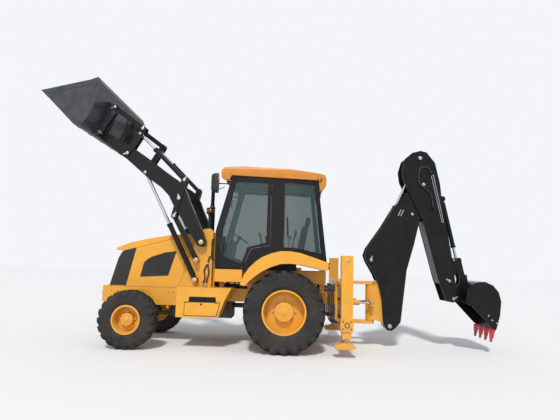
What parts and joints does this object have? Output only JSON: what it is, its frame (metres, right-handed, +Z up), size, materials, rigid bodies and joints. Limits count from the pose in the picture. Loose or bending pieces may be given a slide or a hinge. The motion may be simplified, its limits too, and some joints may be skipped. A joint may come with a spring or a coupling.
{
  "type": "backhoe loader",
  "caption": "Backhoe loader with a raised front bucket on two arms, a glazed cab, a rear digging arm and sliding stabiliser legs.",
  "frame": {"origin": "on the ground, under the middle of the whole machine as it is parked", "axes": "+X towards the digging arm, +Y towards the machine's right side, +Z up"},
  "size_m": [8.49, 2.36, 4.8],
  "materials": {
    "yellow_paint": "semi-gloss",
    "orange_paint": "semi-gloss",
    "black_paint": "satin",
    "bucket_grey": "satin",
    "red_paint": "satin",
    "dark_iron": "matt",
    "dark_plastic": "matt",
    "seat_fabric": "woven",
    "lamp_lens": "clear",
    "tinted_glass": "tinted",
    "chrome_rod": "polished",
    "tyre": "matt"
  },
  "bodies": {
    "machine": {"chassis": "yellow_paint", "engine_block": "dark_iron", "axles": "dark_iron", "side_panels": "yellow_paint", "grilles": "dark_plastic", "side_boxes": "yellow_paint", "cab_floor": "yellow_paint", "fenders": "yellow_paint", "cab_frame": "black_paint", "cab_roof": "orange_paint", "cab_glass": "tinted_glass", "console": "dark_plastic", "lamps": "lamp_lens", "mirrors": "dark_plastic", "stacks": "black_paint"},
    "bonnet": {"bonnet": "yellow_paint"},
    "door_left": {"door_left": "black_paint", "door_glass_left": "tinted_glass"},
    "door_right": {"door_right": "black_paint", "door_glass_right": "tinted_glass"},
    "seat": {"seat": "seat_fabric"},
    "knuckle_left": {"knuckle_left": "dark_iron"},
    "knuckle_right": {"knuckle_right": "dark_iron"},
    "wheel_front_left": {"rim_front_left": "yellow_paint", "tyre_front_left": "tyre"},
    "wheel_front_right": {"rim_front_right": "yellow_paint", "tyre_front_right": "tyre"},
    "wheel_rear_left": {"rim_rear_left": "yellow_paint", "tyre_rear_left": "tyre"},
    "wheel_rear_right": {"rim_rear_right": "yellow_paint", "tyre_rear_right": "tyre"},
    "loader_arms": {"loader_arms": "black_paint"},
    "lift_barrels": {"lift_barrels": "black_paint"},
    "lift_rods": {"lift_rods": "chrome_rod"},
    "level_levers": {"level_levers": "black_paint"},
    "level_links": {"level_links": "black_paint"},
    "tilt_barrels": {"tilt_barrels": "black_paint"},
    "tilt_rods": {"tilt_rods": "chrome_rod"},
    "tilt_levers": {"tilt_levers": "black_paint"},
    "tilt_links": {"tilt_links": "black_paint"},
    "loader_bucket": {"loader_bucket": "bucket_grey"},
    "leg_left": {"leg_left": "yellow_paint"},
    "leg_right": {"leg_right": "yellow_paint"},
    "carriage": {"carriage": "yellow_paint"},
    "slew_post": {"slew_post": "yellow_paint"},
    "slew_rod_left": {"slew_rod_left": "chrome_rod"},
    "slew_rod_right": {"slew_rod_right": "chrome_rod"},
    "boom": {"boom": "black_paint", "dipper_barrel": "black_paint"},
    "boom_barrel": {"boom_barrel": "black_paint"},
    "boom_rod": {"boom_rod": "chrome_rod"},
    "dipper": {"dipper": "black_paint", "crowd_barrel": "black_paint"},
    "dipper_rod": {"dipper_rod": "chrome_rod"},
    "crowd_rod": {"crowd_rod": "chrome_rod"},
    "crowd_lever": {"crowd_lever": "black_paint"},
    "crowd_link": {"crowd_link": "black_paint"},
    "dig_bucket": {"dig_bucket": "black_paint", "teeth": "red_paint"}
  },
  "joints": [
    {"name": "loader_lift", "type": "hinge", "parent": "machine", "child": "loader_arms", "pos_m": [-1.295, 0, 1.88], "axis": [0, 1, 0], "range_deg": [-80, 0]},
    {"name": "lift_barrel_turn", "type": "hinge", "parent": "machine", "child": "lift_barrels", "pos_m": [-1.375, 0, 1.19], "axis": [0, 1, 0], "range_deg": [-69.3, 2]},
    {"name": "lift_rod_slide", "type": "slide", "parent": "lift_barrels", "child": "lift_rods", "axis": [-0.4669, 0, 0.8843], "range_m": [-0.8188, 0.01]},
    {"name": "level_lever_turn", "type": "hinge", "parent": "loader_arms", "child": "level_levers", "pos_m": [-1.745, 0, 2.68], "axis": [0, 1, 0], "range_deg": [-2, 82]},
    {"name": "level_link_turn", "type": "hinge", "parent": "machine", "child": "level_links", "pos_m": [-1.37, 0, 1.55], "axis": [0, 1, 0], "range_deg": [-82, 2]},
    {"name": "loader_tilt", "type": "hinge", "parent": "loader_arms", "child": "loader_bucket", "pos_m": [-3.345, 0, 3.93], "axis": [0, -1, 0], "range_deg": [-45, 70]},
    {"name": "tilt_lever_turn", "type": "hinge", "parent": "loader_arms", "child": "tilt_levers", "pos_m": [-2.775, 0, 3.52], "axis": [0, -1, 0], "range_deg": [-47, 72]},
    {"name": "tilt_link_turn", "type": "hinge", "parent": "tilt_levers", "child": "tilt_links", "pos_m": [-2.505, 0, 4], "axis": [0, -1, 0], "range_deg": [-72, 47]},
    {"name": "tilt_barrel_turn", "type": "hinge", "parent": "loader_arms", "child": "tilt_barrels", "pos_m": [-1.665, 0, 3.03], "axis": [0, -1, 0], "range_deg": [-9.2, 13.1]},
    {"name": "tilt_rod_slide", "type": "slide", "parent": "tilt_barrels", "child": "tilt_rods", "axis": [-0.7151, 0, 0.6991], "range_m": [-0.2788, 0.4282]},
    {"name": "leg_left_slide", "type": "slide", "parent": "machine", "child": "leg_left", "axis": [0, 0, -1], "range_m": [0, 0.55]},
    {"name": "leg_right_slide", "type": "slide", "parent": "machine", "child": "leg_right", "axis": [0, 0, -1], "range_m": [0, 0.55]},
    {"name": "side_shift", "type": "slide", "parent": "machine", "child": "carriage", "axis": [0, 1, 0], "range_m": [-0.5, 0.5]},
    {"name": "slew", "type": "hinge", "parent": "carriage", "child": "slew_post", "pos_m": [1.905, 0, 0], "axis": [0, 0, 1], "range_deg": [-90, 90]},
    {"name": "slew_rod_left_slide", "type": "slide", "parent": "carriage", "child": "slew_rod_left", "axis": [1, 0, 0], "range_m": [-0.195, 0.195]},
    {"name": "slew_rod_right_slide", "type": "slide", "parent": "carriage", "child": "slew_rod_right", "axis": [1, 0, 0], "range_m": [-0.195, 0.195]},
    {"name": "boom_lift", "type": "hinge", "parent": "slew_post", "child": "boom", "pos_m": [2.265, 0, 0.41], "axis": [0, 1, 0], "range_deg": [0, 70]},
    {"name": "boom_barrel_turn", "type": "hinge", "parent": "slew_post", "child": "boom_barrel", "pos_m": [2.065, 0, 1.19], "axis": [0, 1, 0], "range_deg": [-2, 80.9]},
    {"name": "boom_rod_slide", "type": "slide", "parent": "boom_barrel", "child": "boom_rod", "axis": [0.4287, 0, 0.9035], "range_m": [-0.01, 0.9025]},
    {"name": "dipper_reach", "type": "hinge", "parent": "boom", "child": "dipper", "pos_m": [2.935, 0, 3.15], "axis": [0, -1, 0], "range_deg": [0, 105]},
    {"name": "dipper_rod_slide", "type": "slide", "parent": "boom", "child": "dipper_rod", "axis": [0.4275, 0, 0.904], "range_m": [-0.8398, 0.01]},
    {"name": "dig_curl", "type": "hinge", "parent": "dipper", "child": "dig_bucket", "pos_m": [3.465, 0, 0.96], "axis": [0, 1, 0], "range_deg": [-28, 105]},
    {"name": "crowd_lever_turn", "type": "hinge", "parent": "dipper", "child": "crowd_lever", "pos_m": [3.395, 0, 1.29], "axis": [0, 1, 0], "range_deg": [-30, 107]},
    {"name": "crowd_link_turn", "type": "hinge", "parent": "crowd_lever", "child": "crowd_link", "pos_m": [3.595, 0, 1.69], "axis": [0, 1, 0], "range_deg": [-107, 30]},
    {"name": "crowd_rod_slide", "type": "slide", "parent": "dipper", "child": "crowd_rod", "axis": [0.204, 0, -0.979], "range_m": [-0.1908, 0.6881]},
    {"name": "bonnet_lid", "type": "hinge", "parent": "machine", "child": "bonnet", "pos_m": [-1.72, 0, 2.035], "axis": [0, 1, 0], "range_deg": [0, 50]},
    {"name": "door_left_swing", "type": "hinge", "parent": "machine", "child": "door_left", "pos_m": [-0.005, -0.77, 2.3], "axis": [0, 0, 1], "range_deg": [0, 70]},
    {"name": "door_right_swing", "type": "hinge", "parent": "machine", "child": "door_right", "pos_m": [-0.005, 0.77, 2.3], "axis": [0, 0, -1], "range_deg": [0, 70]},
    {"name": "seat_swivel", "type": "hinge", "parent": "machine", "child": "seat", "pos_m": [0.325, 0, 1.48], "axis": [0, 0, 1], "range_deg": [0, 180]},
    {"name": "steer_left", "type": "hinge", "parent": "machine", "child": "knuckle_left", "pos_m": [-2.445, -0.69, 0.5], "axis": [0, 0, 1], "range_deg": [-30, 30]},
    {"name": "steer_right", "type": "hinge", "parent": "machine", "child": "knuckle_right", "pos_m": [-2.445, 0.69, 0.5], "axis": [0, 0, 1], "range_deg": [-31, 31]},
    {"name": "wheel_front_left_spin", "type": "hinge", "parent": "knuckle_left", "child": "wheel_front_left", "pos_m": [-2.445, -0.92, 0.5], "axis": [0, 1, 0], "continuous": true},
    {"name": "wheel_front_right_spin", "type": "hinge", "parent": "knuckle_right", "child": "wheel_front_right", "pos_m": [-2.445, 0.92, 0.5], "axis": [0, 1, 0], "continuous": true},
    {"name": "wheel_rear_left_spin", "type": "hinge", "parent": "machine", "child": "wheel_rear_left", "pos_m": [0.265, -0.925, 0.705], "axis": [0, 1, 0], "continuous": true},
    {"name": "wheel_rear_right_spin", "type": "hinge", "parent": "machine", "child": "wheel_rear_right", "pos_m": [0.265, 0.925, 0.705], "axis": [0, 1, 0], "continuous": true}
  ],
  "couplings": [
    {"joint": "lift_barrel_turn", "follows": "loader_lift", "ratio": 0.84122},
    {"joint": "lift_rod_slide", "follows": "loader_lift", "m_per_rad": 0.57928},
    {"joint": "level_lever_turn", "follows": "loader_lift", "ratio": -1},
    {"joint": "level_link_turn", "follows": "loader_lift", "ratio": 1},
    {"joint": "tilt_lever_turn", "follows": "loader_tilt", "ratio": 1},
    {"joint": "tilt_link_turn", "follows": "loader_tilt", "ratio": -1},
    {"joint": "tilt_barrel_turn", "follows": "loader_tilt", "ratio": 0.15911},
    {"joint": "tilt_rod_slide", "follows": "loader_tilt", "m_per_rad": 0.34226},
    {"joint": "slew_rod_left_slide", "follows": "slew", "m_per_rad": 0.1178},
    {"joint": "slew_rod_right_slide", "follows": "slew", "m_per_rad": -0.1178},
    {"joint": "boom_barrel_turn", "follows": "boom_lift", "ratio": 1.127},
    {"joint": "boom_rod_slide", "follows": "boom_lift", "m_per_rad": 0.7305},
    {"joint": "dipper_rod_slide", "follows": "dipper_reach", "m_per_rad": -0.45281},
    {"joint": "crowd_lever_turn", "follows": "dig_curl", "ratio": 1},
    {"joint": "crowd_link_turn", "follows": "dig_curl", "ratio": -1},
    {"joint": "crowd_rod_slide", "follows": "dig_curl", "m_per_rad": 0.37},
    {"joint": "steer_right", "follows": "steer_left", "ratio": 1}
  ]
}
